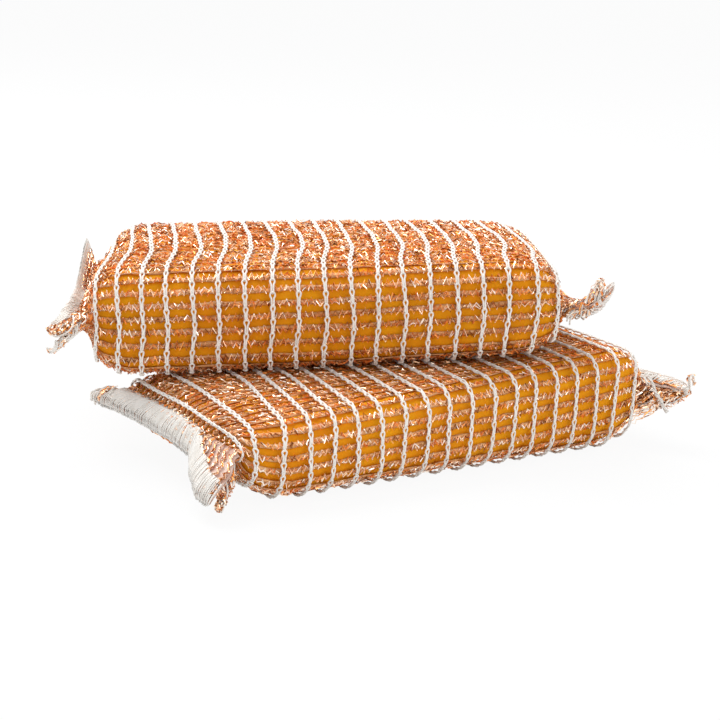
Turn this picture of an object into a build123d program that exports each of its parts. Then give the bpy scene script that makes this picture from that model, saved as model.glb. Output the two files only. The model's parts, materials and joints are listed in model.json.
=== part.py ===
"""A pair of pot scrubbers: foam pads in knitted net sleeves, one lying across the other.

Each pad is a foam block inside a tube of net. The net has lengthwise rows of tinsel yarn,
held by chains of white thread that run round the pad. Each end of the tube is sewn flat
into a seam flap, whose edge an overlock thread binds. X is the lower pad's length, Y goes
to its far side and Z is up, from the table under the chain next to its middle.
"""
import os
from math import cos, hypot, radians, sin, sqrt

from build123d import *

# Foam blocks, wedge-shaped a little, as they lie pressed together
foam_length = 114.0
foam_width = 61.8
upper_left_height = 24.4
upper_right_height = 20.6
lower_left_height = 16.4
lower_right_height = 24.2
corner_round = 7.0
top_crown = 1.0
side_bulge = 0.7
end_round = 12.0
end_drop = 5.5
end_side_drop = 3.6
lower_left_top_drop = 2.5
lower_left_bottom_drop = 9.5
lower_right_bottom_drop = 9.5
roundest_share = 0.85

# Net sleeve: rows of yarn between its two gathered ends
sleeve_gap = 0.14
row_thickness = 0.6
row_width = 1.05
row_pitch = 3.2
row_end_inset = 6.0
gather_length = 1.7
gather_wall = 1.0
mouth_height = 2.0
mouth_width = 60.0

# White chains that hold the rows
chain_gap = 0.2
chain_thickness = 0.7
chain_width = 1.05
chain_pitch = 6.35
chain_reach = 57.15
upper_chain_count = 19
lower_chain_count = 20

# Seam flaps
seam_gap = 0.3
seam_radius = 0.9
flap_thickness = 1.1
flap_bend_reach = 4.0
flap_edge_reach = 6.0

# Overlock thread round the flaps' edges
thread_thickness = 0.4
thread_width = 0.6
thread_pitch = 1.3
thread_gap = 0.25
overlock_band = 4.6

# The lower pad's middle, half a pitch from the chain over the origin
lower_shift_along = -3.175

# Where the upper pad lies on the lower one, as seen from above
upper_shift_along = -5.9
upper_shift_across = 24.3
upper_turn = -28.8
rest_gap = 0.3

# Each flap from its near corner to its far one. A row has its place across as a share of the
# half mouth, where it starts as a share of its bend's reach, its reach as a share of the
# flap's, and the slopes of its root and its edge in degrees, which differ.
upper_left_flap_shares = [
    (-1.22, 0.70, 1.25, -10, -30),
    (-1.10, 0.40, 1.20, -6, -20),
    (-0.96, 0.00, 0.95, 10, 0),
    (-0.66, 0.00, 0.65, 46, 56),
    (0.00, 0.00, 0.75, 60, 70),
    (0.66, 0.00, 0.95, 62, 72),
    (0.96, 0.00, 1.10, 62, 72),
    (1.08, 0.40, 1.15, 60, 70),
    (1.18, 0.75, 1.15, 58, 68),
]
upper_right_flap_shares = [
    (-1.20, 0.70, 2.00, 30, 52),
    (-1.10, 0.40, 2.00, 26, 46),
    (-0.96, 0.00, 1.70, 12, 30),
    (-0.81, 0.00, 1.35, -9, -6),
    (-0.66, 0.00, 1.00, -30, -42),
    (0.00, 0.00, 0.85, -58, -68),
    (0.66, 0.00, 0.85, -60, -70),
    (0.96, 0.00, 0.95, -58, -68),
    (1.08, 0.40, 1.00, -54, -64),
    (1.18, 0.75, 1.00, -50, -62),
]
lower_left_flap_shares = [
    (-1.12, 0.60, 2.05, -40, -56),
    (-1.04, 0.30, 2.05, -40, -54),
    (-0.92, 0.00, 2.00, -38, -50),
    (-0.62, 0.00, 1.40, -42, -52),
    (-0.38, 0.00, 0.75, -54, -64),
    (0.00, 0.00, 0.58, -50, -60),
    (0.60, 0.00, 0.62, -46, -56),
    (0.92, 0.00, 0.68, -44, -54),
    (1.06, 0.40, 0.78, -38, -48),
    (1.20, 0.75, 0.90, -30, -42),
]
lower_right_flap_shares = [
    (-1.22, 0.70, 2.05, 4, 10),
    (-1.10, 0.40, 2.05, 2, 8),
    (-0.98, 0.00, 1.70, 1, 8),
    (-0.68, 0.00, 0.95, 0, 4),
    (0.00, 0.00, 0.85, 1, -3),
    (0.68, 0.00, 0.85, -2, -6),
    (0.98, 0.00, 1.10, -6, -14),
    (1.10, 0.40, 1.20, -8, -16),
    (1.20, 0.75, 1.20, -8, -18),
]

row_inner = sleeve_gap
row_outer = row_inner + row_thickness
chain_inner = row_outer + chain_gap
chain_outer = chain_inner + chain_thickness
straight_half = foam_length / 2 - end_round
mouth_x = foam_length / 2 + gather_length
hinge_x = mouth_x + seam_gap + seam_radius
end_angles = [0, 22.5, 45, 67.5, 90]


class Pad:
    """One pad: its place, its foam's heights, its chains, how its ends drop and its flaps hang."""

    def __init__(self, name, base, heights, chain_count, top_drops, bottom_drops, left_flap, right_flap):
        self.name = name
        self.base = base
        self.left_height, self.right_height = heights
        self.chain_count = chain_count
        self.top_drops = {-1: top_drops[0], 1: top_drops[1]}
        self.bottom_drops = {-1: bottom_drops[0], 1: bottom_drops[1]}
        self.flaps = {-1: left_flap, 1: right_flap}
        self.mean_half = (self.left_height + self.right_height) / 4

    def height(self, x):
        """Foam thickness at x, before the ends are rounded."""
        share = x / foam_length + 1 / 2
        return self.left_height + (self.right_height - self.left_height) * share

    def middle(self, x):
        """Height of the pad's mid-plane above its underside."""
        return chain_outer + self.height(x) / 2

    def point(self, x, y, z):
        return self.base.from_local_coords(Vector(x, y, z))

    def rise(self, side):
        """How far the middle of an end lies above the mid-plane."""
        return (self.bottom_drops[side] - self.top_drops[side]) / 2

    def across(self, x, rise=0):
        """A plane that cuts across the pad at x, with its own X across and its Y up."""
        origin = self.point(x, 0, self.middle(x) + rise)
        return Plane(origin, x_dir=self.base.y_dir, z_dir=self.base.x_dir)

    def beside(self, side, y):
        """A plane along the pad at y, from an end's hinge line, with its X out and its Y up."""
        origin = self.point(side * hinge_x, y, self.middle(side * hinge_x) + self.rise(side))
        return Plane(origin, x_dir=self.base.x_dir * side, z_dir=self.base.y_dir * -side)


def end_size(pad, side, angle, grow):
    """An outline's place, sizes and rise at an angle of the end's rounding, grown outward."""
    drop = 1 - cos(radians(angle))
    x = side * (straight_half + (end_round + grow) * sin(radians(angle)))
    half_width = foam_width / 2 - end_side_drop * drop
    half_height = pad.height(x) / 2 - (pad.top_drops[side] + pad.bottom_drops[side]) / 2 * drop
    corner = min(corner_round, half_height * roundest_share)
    return (x, half_width + grow, half_height + grow, corner + grow, pad.rise(side) * drop)


def foam_sizes(pad):
    """The foam's outlines from its left end to its right."""
    left = [end_size(pad, -1, angle, 0) for angle in reversed(end_angles)]
    right = [end_size(pad, 1, angle, 0) for angle in end_angles]
    return left + right


def sleeve_sizes(pad, grow, reach):
    """Outlines of a layer over the foam, down to its two flattened ends."""
    past = grow - row_outer
    half_height = mouth_height / 2 + past
    mouth = (mouth_width / 2 + past, half_height, half_height * roundest_share)
    left = [end_size(pad, -1, angle, grow) for angle in reversed(end_angles)]
    right = [end_size(pad, 1, angle, grow) for angle in end_angles]
    return [(-reach, *mouth, pad.rise(-1)), *left, *right, (reach, *mouth, pad.rise(1))]


def size_at(sizes, x):
    """The outline at any x, in line between its neighbours."""
    for low, high in zip(sizes, sizes[1:]):
        if low[0] <= x <= high[0]:
            share = (x - low[0]) / (high[0] - low[0])
            return tuple(a + (b - a) * share for a, b in zip(low, high))


def outline(pad, size):
    """An outline in its own plane: flat below, crowned above, with bulged sides."""
    half_width, half_height, corner = size[1:4]
    crown = top_crown * half_height / pad.mean_half
    bulge = side_bulge * half_height / pad.mean_half
    shoulder = half_height - crown
    left_low = (-half_width, -half_height)
    left_high = (-half_width, shoulder)
    right_low = (half_width, -half_height)
    right_high = (half_width, shoulder)
    with BuildSketch() as section:
        with BuildLine():
            Line(left_low, right_low)
            ThreePointArc(right_low, (half_width + bulge, 0), right_high)
            ThreePointArc(right_high, (0, half_height), left_high)
            ThreePointArc(left_high, (-half_width - bulge, 0), left_low)
        make_face()
        fillet(section.vertices(), min(corner, shoulder * roundest_share))
    return section.sketch


def placed_outline(pad, size):
    with BuildSketch(pad.across(size[0], size[-1])) as section:
        add(outline(pad, size))
    return section.sketch


def foam_block(pad):
    with BuildPart() as foam_core:
        loft([placed_outline(pad, size) for size in foam_sizes(pad)], ruled=True)
    return foam_core


def slot_planes(pad, sizes):
    """Planes at the slots between rows, all round the pad, each with its Z along the slot."""
    left = placed_outline(pad, size_at(sizes, -straight_half)).wire()
    right = placed_outline(pad, size_at(sizes, straight_half)).wire()
    count = round(2 * (foam_width + upper_left_height) / row_pitch)
    planes = []
    for i in range(count):
        share = (i + 1 / 2) / count
        start = left.position_at(share)
        end = right.position_at(share)
        planes.append(Plane((start + end) / 2, x_dir=left.tangent_at(share), z_dir=end - start))
    return planes


def net_sleeve(pad):
    """Rows of yarn between two gathered ends, cut from one hollow form."""
    outer = sleeve_sizes(pad, row_outer, mouth_x)
    inner = sleeve_sizes(pad, row_inner, mouth_x - gather_wall)
    slot_half = foam_length / 2 - row_end_inset
    slot_share = 1 - sqrt(1 - ((slot_half - straight_half) / end_round) ** 2)
    slot_drop = max(*pad.top_drops.values(), *pad.bottom_drops.values()) * slot_share
    with BuildPart() as sleeve:
        loft([placed_outline(pad, size) for size in outer], ruled=True)
        loft([placed_outline(pad, size) for size in inner], ruled=True, mode=Mode.SUBTRACT)
        with Locations(*slot_planes(pad, outer)):
            Box(row_pitch - row_width, 2 * (row_thickness + slot_drop), 2 * slot_half, mode=Mode.SUBTRACT)
    return sleeve


def chain_places(pad):
    """Where the chains go round a pad: at an even pitch, but for the last ones before its ends."""
    even = [(i - (pad.chain_count - 1) / 2) * chain_pitch for i in range(pad.chain_count)]
    return [max(-chain_reach, min(x, chain_reach)) for x in even]


def chain_rings(pad):
    """White chains round the pad, a band each; those past the straight part are tapered."""
    outer = sleeve_sizes(pad, chain_outer, mouth_x)
    inner = sleeve_sizes(pad, chain_inner, mouth_x)
    with BuildPart() as chains:
        for x in chain_places(pad):
            if abs(x) + chain_width / 2 > straight_half:
                edges = (x - chain_width / 2, x + chain_width / 2)
                loft([placed_outline(pad, size_at(outer, edge)) for edge in edges], ruled=True)
                loft(
                    [placed_outline(pad, size_at(inner, edge)) for edge in edges],
                    ruled=True,
                    mode=Mode.SUBTRACT,
                )
        for x in chain_places(pad):
            if abs(x) + chain_width / 2 <= straight_half:
                with BuildSketch(pad.across(x)):
                    add(outline(pad, size_at(outer, x)))
                    add(outline(pad, size_at(inner, x)), mode=Mode.SUBTRACT)
        extrude(amount=chain_width / 2, both=True)
    return chains


def flap_row_at(rows, place):
    """A row of a flap at any place across it, in line between its neighbours."""
    for low, high in zip(rows, rows[1:]):
        if low[0] <= place <= high[0]:
            share = (place - low[0]) / (high[0] - low[0])
            return tuple(a + (b - a) * share for a, b in zip(low, high))


def flap_point(row, distance, offset):
    """A point of a flap's section, at a distance along its middle and an offset above it."""
    bend = flap_bend_reach * row[2]
    root_slope = radians(row[3])
    edge_slope = radians(row[4])
    if distance < bend:
        slope = root_slope
        middle = Vector(cos(slope), sin(slope)) * distance
    elif distance == bend:
        slope = (root_slope + edge_slope) / 2
        middle = Vector(cos(root_slope), sin(root_slope)) * bend
    else:
        slope = edge_slope
        middle = Vector(cos(root_slope), sin(root_slope)) * bend
        middle += Vector(cos(slope), sin(slope)) * (distance - bend)
    return middle + Vector(-sin(slope), cos(slope)) * offset


def strip_points(row, start, end, offset):
    """Points along a flap's section between two distances, all at one offset."""
    bend = flap_bend_reach * row[2]
    distances = [start, bend, end] if start < bend < end else [start, end]
    return [flap_point(row, distance, offset) for distance in distances]


def seam_flap(pad, side):
    """The flattened end of the tube: a roll on the seam line, and cloth with an ear at each end."""
    rows = pad.flaps[side]
    sections = []
    for row in rows:
        start = row[1] * row[2] * flap_bend_reach
        end = row[2] * flap_edge_reach
        above = strip_points(row, start, end, flap_thickness / 2)
        below = strip_points(row, start, end, -flap_thickness / 2)
        with BuildSketch(pad.beside(side, row[0] * mouth_width / 2)) as section:
            with BuildLine():
                Polyline(*above, *reversed(below), close=True)
            make_face()
        sections.append(section.sketch)
    with BuildPart() as flap:
        loft(sections, ruled=True)
        with BuildSketch(pad.beside(side, 0)):
            Circle(seam_radius)
        extrude(amount=mouth_width / 2, both=True)
    return flap


def thread_ends(row):
    """Where the thread's legs start along a flap's section, and where it passes the edge."""
    end = row[2] * flap_edge_reach + thread_gap
    clear = seam_radius + thread_gap
    return max(end - overlock_band, clear, row[1] * row[2] * flap_bend_reach), end


def stitch_gaps(pad, side, reach):
    """Planes at the gaps between stitches, each from the legs' line outward past the edge."""
    rows = pad.flaps[side]
    width = rows[-1][0] - rows[0][0]
    count = round(width * mouth_width / 2 / thread_pitch)
    planes = []
    for i in range(count):
        row = flap_row_at(rows, rows[0][0] + width * (i + 1 / 2) / count)
        start, end = thread_ends(row)
        section = pad.beside(side, row[0] * mouth_width / 2)
        inner = section.from_local_coords(flap_point(row, start + thread_width, 0))
        outer = section.from_local_coords(flap_point(row, end + reach, 0))
        planes.append(Plane(inner, x_dir=outer - inner, z_dir=section.z_dir))
    return planes


def overlock(pad, side):
    """Thread over the flap's edge: a stitch at each pitch, with a line along both its legs."""
    near = flap_thickness / 2 + thread_gap
    far = near + thread_thickness
    sections = []
    for row in pad.flaps[side]:
        start, end = thread_ends(row)
        with BuildSketch(pad.beside(side, row[0] * mouth_width / 2)) as section:
            with BuildLine():
                Polyline(
                    *strip_points(row, start, end + thread_thickness, far),
                    *reversed(strip_points(row, start, end + thread_thickness, -far)),
                    *strip_points(row, start, end, -near),
                    *reversed(strip_points(row, start, end, near)),
                    close=True,
                )
            make_face()
        sections.append(section.sketch)
    with BuildPart() as thread:
        loft(sections, ruled=True)
        with Locations(*stitch_gaps(pad, side, thread_thickness)):
            Box(
                overlock_band + thread_thickness,
                2 * (far + flap_thickness),
                thread_pitch - thread_width,
                align=(Align.MIN, Align.CENTER, Align.CENTER),
                mode=Mode.SUBTRACT,
            )
    return thread


lower_slope = (lower_right_height - lower_left_height) / foam_length
lower_top = 2 * chain_outer + (lower_left_height + lower_right_height) / 2
upper_origin = (
    lower_shift_along + upper_shift_along,
    upper_shift_across,
    lower_top + lower_slope * upper_shift_along + rest_gap * hypot(1, lower_slope),
)
upper_length_way = (
    cos(radians(upper_turn)),
    sin(radians(upper_turn)),
    lower_slope * cos(radians(upper_turn)),
)
upper_base = Plane(upper_origin, x_dir=upper_length_way, z_dir=(-lower_slope, 0, 1))

pads = [
    Pad(
        "lower",
        Plane((lower_shift_along, 0, 0), x_dir=(1, 0, 0), z_dir=(0, 0, 1)),
        (lower_left_height, lower_right_height),
        lower_chain_count,
        (lower_left_top_drop, end_drop),
        (lower_left_bottom_drop, lower_right_bottom_drop),
        lower_left_flap_shares,
        lower_right_flap_shares,
    ),
    Pad(
        "upper",
        upper_base,
        (upper_left_height, upper_right_height),
        upper_chain_count,
        (end_drop, end_drop),
        (end_drop, end_drop),
        upper_left_flap_shares,
        upper_right_flap_shares,
    ),
]

os.makedirs("parts", exist_ok=True)
for pad in pads:
    pieces = {
        "foam_core": foam_block(pad),
        "net_sleeve": net_sleeve(pad),
        "chains": chain_rings(pad),
        "left_flap": seam_flap(pad, -1),
        "right_flap": seam_flap(pad, 1),
        "left_overlock": overlock(pad, -1),
        "right_overlock": overlock(pad, 1),
    }
    for name, piece in pieces.items():
        piece.part.label = f"{pad.name}_{name}"
        export_step(piece.part, f"parts/{piece.part.label}.step")
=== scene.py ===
import json
import math

import bpy
import numpy as np
from mathutils import Matrix, Vector


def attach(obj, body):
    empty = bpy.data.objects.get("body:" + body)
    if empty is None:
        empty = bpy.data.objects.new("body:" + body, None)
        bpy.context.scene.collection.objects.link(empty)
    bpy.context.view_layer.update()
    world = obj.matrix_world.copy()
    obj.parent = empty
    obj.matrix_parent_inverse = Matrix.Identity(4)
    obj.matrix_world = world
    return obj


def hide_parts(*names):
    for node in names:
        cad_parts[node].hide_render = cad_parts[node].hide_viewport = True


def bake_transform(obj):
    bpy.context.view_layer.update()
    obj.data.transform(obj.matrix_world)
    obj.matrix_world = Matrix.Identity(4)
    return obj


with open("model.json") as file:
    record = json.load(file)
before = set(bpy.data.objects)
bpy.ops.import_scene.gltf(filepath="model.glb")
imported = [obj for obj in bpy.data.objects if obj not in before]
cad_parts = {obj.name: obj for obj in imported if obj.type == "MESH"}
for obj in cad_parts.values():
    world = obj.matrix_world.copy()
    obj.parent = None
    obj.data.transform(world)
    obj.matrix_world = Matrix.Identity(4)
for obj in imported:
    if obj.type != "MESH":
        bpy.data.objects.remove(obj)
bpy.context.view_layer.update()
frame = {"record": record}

# All sizes are in metres
MM = 0.001
rng = np.random.default_rng(19)

# The camera, as fitted to the photograph's 720 x 720 frame
IMAGE_PX = 720
FOCAL_PX = 1713
SENSOR_MM = 36
CAMERA_TARGET = np.array((-2.305, 15.52, 18.2)) * MM
CAMERA_DISTANCE = 444 * MM
CAMERA_TURN = math.radians(33.0)
CAMERA_RISE = math.radians(14.1)
CAMERA_ROLL = math.radians(1.94)

# The pads' foam, as in the CAD model
FOAM_LENGTH = 114 * MM
FOAM_WIDTH = 61.8 * MM
LEFT_RIGHT_HEIGHTS = {"lower": (16.4 * MM, 24.2 * MM), "upper": (24.4 * MM, 20.6 * MM)}
TOP_DROPS = {"lower": (2.5 * MM, 5.5 * MM), "upper": (5.5 * MM, 5.5 * MM)}
BOTTOM_DROPS = {"lower": (9.5 * MM, 9.5 * MM), "upper": (5.5 * MM, 5.5 * MM)}
CORNER_ROUND = 7.2 * MM
NEAR_TOP_ROUNDS = {"lower": (7.2 * MM, 4.4 * MM), "upper": (9.0 * MM, 4.2 * MM)}
NEAR_BOTTOM_ROUNDS = {"lower": (7.2 * MM, 6.0 * MM), "upper": (4.4 * MM, 4.4 * MM)}
TOP_CROWN = 1.0 * MM
SIDE_BULGE = 0.7 * MM
END_ROUND = 12 * MM
END_SIDE_DROP = 3.6 * MM
UNDER_LAYER = 1.64 * MM

# How far the pads sag or lift at their lengthwise edges, in mm at the left end, the middle and the right end
EDGE_LIFTS = {
    "lower": {"near_top": (0.0, 0.3, 0.8), "far_top": (0.0, 0.0, 0.0), "near_bottom": (0.0, 0.0, 0.0)},
    "upper": {"near_top": (-0.8, 0.2, 2.2), "far_top": (0.2, 1.2, 0.6), "near_bottom": (-1.0, -0.8, 0.6)},
}

# How far each pad's end is drawn in along the pad, in mm at its near side and its far side
END_PULLS = {
    ("lower", -1): (0.0, 0.0),
    ("lower", 1): (0.0, 0.0),
    ("upper", -1): (1.6, 4.8),
    ("upper", 1): (0.0, 0.0),
}

# The net: its gathered ends and its seams
ROW_PITCH = 3.2 * MM
STRAIGHT = FOAM_LENGTH / 2 - END_ROUND
MOUTH_X = 58.7 * MM
HINGE_X = 59.9 * MM
MOUTH_HALF_WIDTH = 30 * MM
MOUTH_HALF_HEIGHT = 0.9 * MM
MOUTH_RUN = 1.2 * MM
FLAP_BEND_REACH = 4.0 * MM
FLAP_EDGE_REACH = 6.0 * MM
FLAP_LAYER = 0.4 * MM

# The end's rounding by length of net: turns in radians, and the lengths at which they are reached
ROUND_TURNS = np.radians(np.linspace(0, 90, 46))
ROUND_STEPS = np.hypot(END_ROUND * np.cos(ROUND_TURNS), TOP_DROPS["upper"][0] * np.sin(ROUND_TURNS))
ROUND_LENGTHS = np.concatenate(((0,), np.cumsum((ROUND_STEPS[1:] + ROUND_STEPS[:-1]) / 2 * ROUND_TURNS[1])))
ROUND_RUN = ROUND_LENGTHS[-1]

# The chains
CHAIN_PITCH = 6.35 * MM
CHAIN_COUNTS = {"lower": 20, "upper": 19}
CHAIN_LIFT = 1.0 * MM
YARN_RADIUS = 0.24 * MM

# Each flap from its near corner to its far one: place across as a share of the half mouth,
# reach as a share of the flap's, and the slopes of its root and its edge in degrees
FLAP_SHARES = {
    ("upper", -1): [
        (-1.22, 0.92, -4, -14), (-1.10, 0.86, -2, -8), (-0.96, 0.62, 10, 5),
        (-0.66, 0.45, 40, 50), (-0.33, 0.50, 60, 72), (0.00, 0.75, 70, 82),
        (0.33, 0.98, 72, 84), (0.66, 1.10, 72, 82), (0.96, 1.10, 70, 78),
        (1.08, 1.08, 70, 76), (1.18, 1.05, 68, 72),
    ],
    ("upper", 1): [
        (-1.20, 2.00, 30, 52), (-1.10, 2.00, 26, 46), (-0.96, 1.70, 12, 30),
        (-0.66, 1.00, -30, -42), (0.00, 0.85, -58, -68), (0.66, 0.85, -60, -70),
        (0.96, 0.95, -58, -68), (1.08, 1.00, -54, -64), (1.18, 1.00, -50, -62),
    ],
    ("lower", -1): [
        (-1.12, 2.05, -40, -56), (-1.04, 2.05, -40, -54), (-0.92, 2.00, -38, -50),
        (-0.62, 1.40, -42, -52), (-0.38, 0.75, -54, -64), (0.00, 0.58, -50, -60),
        (0.60, 0.62, -46, -56), (0.92, 0.68, -44, -54), (1.06, 0.78, -38, -48),
        (1.20, 0.90, -30, -42),
    ],
    ("lower", 1): [
        (-1.22, 1.30, -4, -8), (-1.10, 1.45, -3, -6), (-0.98, 1.40, -2, -3),
        (-0.68, 0.95, 0, 4), (0.00, 0.85, 1, -3), (0.68, 0.85, -2, -6),
        (0.98, 1.10, -6, -14), (1.10, 1.20, -8, -16), (1.20, 1.20, -8, -18),
    ],
}

# The shares of the way round, by number, at which the pad's top and its underside start and end
TOP_STARTS, TOP_ENDS, UNDER_STARTS, UNDER_ENDS = 1, 4, 5, 8
SEGMENTS = 9

# A corner's radius is at most this share of half the pad's height
LARGEST_ROUND = 0.84

# The share of a flap's half width over which its two layers join at a corner
LAYER_JOIN = 0.06

# How far apart two points are from which the surface's slope is taken
PROBE = 0.2 * MM
SHORTEST = 1e-12

# The chains' waves along the pad: their least and largest sizes in mm, and their number round the pad
WAVE_SIZES = (0.1, 0.3)
RIPPLE_SIZES = (0.08, 0.18)
WAVES_ROUND = 2
RIPPLES_ROUND = 5

# The direction in degrees, out from each hinge line, of the points that bend_with takes for each flap
BLEND_SLOPES = {("upper", -1): 30, ("upper", 1): -15, ("lower", -1): -45, ("lower", 1): 0}
BLEND_BEFORE = 0.4 * MM
BLEND_AFTER = 2.2 * MM


def unit(v):
    return v / np.maximum(np.linalg.norm(v, axis=-1, keepdims=True), SHORTEST)


def smooth_step(x):
    x = np.clip(x, 0, 1)
    return x * x * (3 - 2 * x)


class Pad:
    """One pad's own axes, from its two hinge lines, and the shape of its skin."""

    def __init__(self, name):
        self.name = name
        self.left_height, self.right_height = LEFT_RIGHT_HEIGHTS[name]
        self.mean_half = (self.left_height + self.right_height) / 4
        self.top_drops = TOP_DROPS[name]
        self.bottom_drops = BOTTOM_DROPS[name]
        joints = {joint["name"]: joint for joint in frame["record"]["behaviour"]["joints"]}
        left = joints[name + "_left_seam_bend"]
        start = np.array(left["pos_m"])
        end = np.array(joints[name + "_right_seam_bend"]["pos_m"])
        self.y = unit(np.array(left["axis"]))
        run = unit(end - start)
        lift = np.cross(run, self.y)
        levels = [self.middle(side * HINGE_X, side) for side in (-1, 1)]
        climb = math.atan2(levels[1] - levels[0], 2 * HINGE_X)
        self.x = run * math.cos(climb) - lift * math.sin(climb)
        self.z = lift * math.cos(climb) + run * math.sin(climb)
        self.origin = (start + end) / 2 - self.z * (levels[0] + levels[1]) / 2
        rounds = (sum(NEAR_TOP_ROUNDS[name]) / 2, sum(NEAR_BOTTOM_ROUNDS[name]) / 2, CORNER_ROUND)
        shares, self.girth = self.fractions(FOAM_WIDTH / 2, self.mean_half, *rounds)
        self.side_fractions = np.concatenate(((0,), shares))
        self.walls = {side: float(self.half_end(side)) for side in (-1, 1)}
        self.row_count = round(self.girth / ROW_PITCH)
        self.chain_waves = np.stack((
            rng.uniform(*WAVE_SIZES, CHAIN_COUNTS[name]) * MM,
            rng.uniform(0, 1, CHAIN_COUNTS[name]),
            rng.uniform(*RIPPLE_SIZES, CHAIN_COUNTS[name]) * MM,
            rng.uniform(0, 1, CHAIN_COUNTS[name]),
        ))

    def fractions(self, width, height, near_top, near_bottom, far):
        """Shares of the way round at which a section's sides and corners start."""
        quarter = math.pi / 2
        lengths = np.stack((
            height - near_top,
            quarter * near_top,
            2 * width - near_top - far,
            quarter * far,
            2 * (height - far),
            quarter * far,
            2 * width - far - near_bottom,
            quarter * near_bottom,
            height - near_bottom,
        ))
        ways = np.cumsum(lengths, axis=0)
        return ways / ways[-1], ways[-1]

    def height(self, x):
        share = x / FOAM_LENGTH + 1 / 2
        return self.left_height + (self.right_height - self.left_height) * share

    def middle(self, x, side, drop=1.0):
        """Height of the middle of a section over the pad's underside."""
        rise = (np.where(side < 0, *self.bottom_drops) - np.where(side < 0, *self.top_drops)) / 2
        return UNDER_LAYER + self.height(x) / 2 + rise * drop

    def mean_drop(self, side):
        return (np.where(side < 0, *self.bottom_drops) + np.where(side < 0, *self.top_drops)) / 2

    def half_end(self, side):
        """Half the foam's height at an end, which is also the net's way from there to the mouth."""
        return self.height(side * FOAM_LENGTH / 2) / 2 - self.mean_drop(side)

    def hinge_run(self, side):
        """Where the hinge line is, as a length of net from the pad's middle."""
        return STRAIGHT + ROUND_RUN + self.walls[side] + MOUTH_RUN

    def section(self, x, side, drop, t, grow):
        """Across and up at x, with an end's drop, for a share t of the way round from the near side."""
        width = FOAM_WIDTH / 2 - END_SIDE_DROP * drop + grow
        height = self.height(x) / 2 - self.mean_drop(side) * drop + grow
        share = x / FOAM_LENGTH + 1 / 2
        limit = height * LARGEST_ROUND
        far = np.minimum(CORNER_ROUND, limit)
        near_top = np.minimum(np.interp(share, (0, 1), NEAR_TOP_ROUNDS[self.name]), limit)
        near_bottom = np.minimum(np.interp(share, (0, 1), NEAR_BOTTOM_ROUNDS[self.name]), limit)
        ends = self.fractions(*np.broadcast_arrays(width, height, near_top, near_bottom, far))[0]
        starts = np.concatenate((np.zeros_like(ends[:1]), ends[:-1]))
        segment = np.sum(t >= ends[:-1], axis=0)
        v = np.select([segment == k for k in range(SEGMENTS)], (t - starts) / (ends - starts))
        turn = v * math.pi / 2
        y = np.select(
            [segment == k for k in range(SEGMENTS - 1)],
            [
                -width,
                near_top * (1 - np.cos(turn)) - width,
                near_top - width + (2 * width - near_top - far) * v,
                width - far * (1 - np.sin(turn)),
                width,
                width - far * (1 - np.cos(turn)),
                width - far - (2 * width - near_bottom - far) * v,
                near_bottom * (1 - np.sin(turn)) - width,
            ],
            -width,
        )
        z = np.select(
            [segment == k for k in range(SEGMENTS - 1)],
            [
                (height - near_top) * v,
                height - near_top * (1 - np.sin(turn)),
                height,
                height - far * (1 - np.cos(turn)),
                (height - far) * (1 - 2 * v),
                far * (1 - np.sin(turn)) - height,
                -height,
                near_bottom * (1 - np.cos(turn)) - height,
            ],
            (near_bottom - height) * (1 - v),
        )
        nearness = np.clip((1 - y / width) / 2, 0, 1)
        crown = TOP_CROWN / self.mean_half
        z = np.where(z > 0, z * (1 - crown * (y / width) ** 2), z)
        y = y * (1 + SIDE_BULGE / width * (1 - np.clip(z / height, -1, 1) ** 2))
        highness = np.clip((1 + z / height) / 2, 0, 1)
        lifts = {edge: np.interp(share, (0, 0.5, 1), at) * MM for edge, at in EDGE_LIFTS[self.name].items()}
        top_lift = lifts["near_top"] * nearness ** 2 + lifts["far_top"] * (1 - nearness)
        lift = top_lift * highness + lifts["near_bottom"] * nearness ** 3 * (1 - highness)
        return y, z + self.middle(x, side, drop) + lift * (1 - drop / 2)

    def end_pull(self, side, t, turn):
        """How far the pad's end is drawn in, at a share of the way round and a turn of its rounding."""
        ends = (END_PULLS[(self.name, -1)], END_PULLS[(self.name, 1)])
        near, far = (np.where(side < 0, ends[0][k], ends[1][k]) * MM for k in (0, 1))
        f = self.side_fractions
        over = smooth_step((t - f[TOP_STARTS]) / (f[TOP_ENDS] - f[TOP_STARTS]))
        back = smooth_step((t - f[UNDER_STARTS]) / (f[UNDER_ENDS] - f[UNDER_STARTS]))
        farness = over - back
        return (near + (far - near) * farness) * np.sin(turn)

    def flap_rows(self, side):
        return np.array(FLAP_SHARES[(self.name, side)])

    def flap_place(self, side, place):
        """Turns -1 to 1 into a flap's own share of the half mouth."""
        rows = self.flap_rows(side)
        return rows[0, 0] + (place + 1) / 2 * (rows[-1, 0] - rows[0, 0])

    def flap_reach(self, side, place):
        rows = self.flap_rows(side)
        return np.interp(self.flap_place(side, place), rows[:, 0], rows[:, 1]) * FLAP_EDGE_REACH

    def flap_line(self, side, place, distance):
        """Out and up from the hinge line at a place across a flap, on a smooth bend."""
        rows = self.flap_rows(side)
        across = self.flap_place(side, place)
        reach, root, edge = (np.interp(across, rows[:, 0], rows[:, k]) for k in (1, 2, 3))
        root = np.radians(root)
        edge = np.radians(edge)
        length = reach * FLAP_EDGE_REACH
        bend = reach * FLAP_BEND_REACH
        s = distance / length
        out_1, up_1 = bend * np.cos(root), bend * np.sin(root)
        out_2 = out_1 + (length - bend) * np.cos(edge)
        up_2 = up_1 + (length - bend) * np.sin(edge)
        out = 2 * s * (1 - s) * out_1 + s * s * out_2
        up = 2 * s * (1 - s) * up_1 + s * s * up_2
        return out, up

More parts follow.
